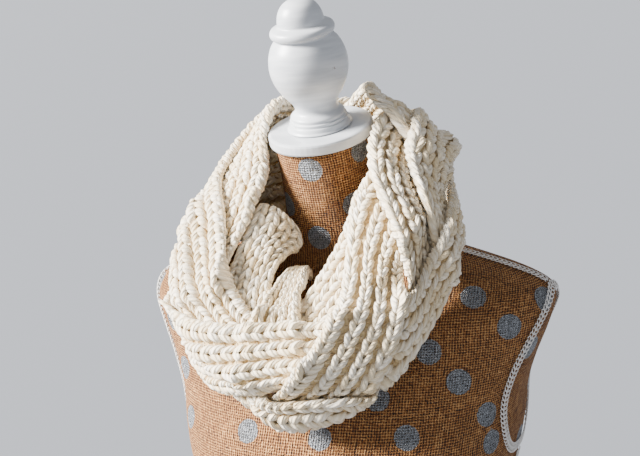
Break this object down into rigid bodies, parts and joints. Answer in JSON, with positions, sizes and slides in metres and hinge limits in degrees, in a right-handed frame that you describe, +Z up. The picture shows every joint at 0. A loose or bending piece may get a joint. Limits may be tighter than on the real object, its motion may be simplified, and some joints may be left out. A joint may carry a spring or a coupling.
{
  "type": "infinity scarf on a dress form",
  "caption": "Braided infinity scarf of chunky ribbed yarn, looped round the neck of a limbless burlap-covered tabletop dress form with a turned neck finial.",
  "frame": {"origin": "centre of the underside of the base board, where the form stands", "axes": "+Z up through the form, -Y towards the wearer's front, +X towards the wearer's left"},
  "size_m": [0.443, 0.3304, 0.7086],
  "materials": {
    "wool_yarn": "matte chunky cream wool yarn, worked in raised ribs",
    "burlap": "matte coarse tan burlap with round silver glitter dots",
    "gimp_braid": "matte white looped gimp braid",
    "painted_wood": "satin white paint over wood, a little worn"
  },
  "bodies": {
    "root": {"scarf_front_band": "wool_yarn", "scarf_right_band": "wool_yarn", "scarf_nape_band": "wool_yarn", "scarf_left_band": "wool_yarn", "scarf_throat_band": "wool_yarn", "scarf_shoulder_band": "wool_yarn", "scarf_back_band": "wool_yarn", "scarf_inner_band": "wool_yarn", "scarf_inner_fold": "wool_yarn", "scarf_cross_band": "wool_yarn", "scarf_tuck": "wool_yarn", "scarf_outer_band": "wool_yarn", "scarf_hem_band": "wool_yarn", "scarf_collar_band": "wool_yarn", "scarf_spine_band": "wool_yarn", "left_shoulder_trim": "gimp_braid", "right_shoulder_trim": "gimp_braid", "left_armhole_trim": "gimp_braid", "right_armhole_trim": "gimp_braid", "left_side_trim": "gimp_braid", "right_side_trim": "gimp_braid", "form_torso": "burlap", "base_board": "painted_wood", "neck_plate": "painted_wood", "finial": "painted_wood"}
  },
  "joints": []
}
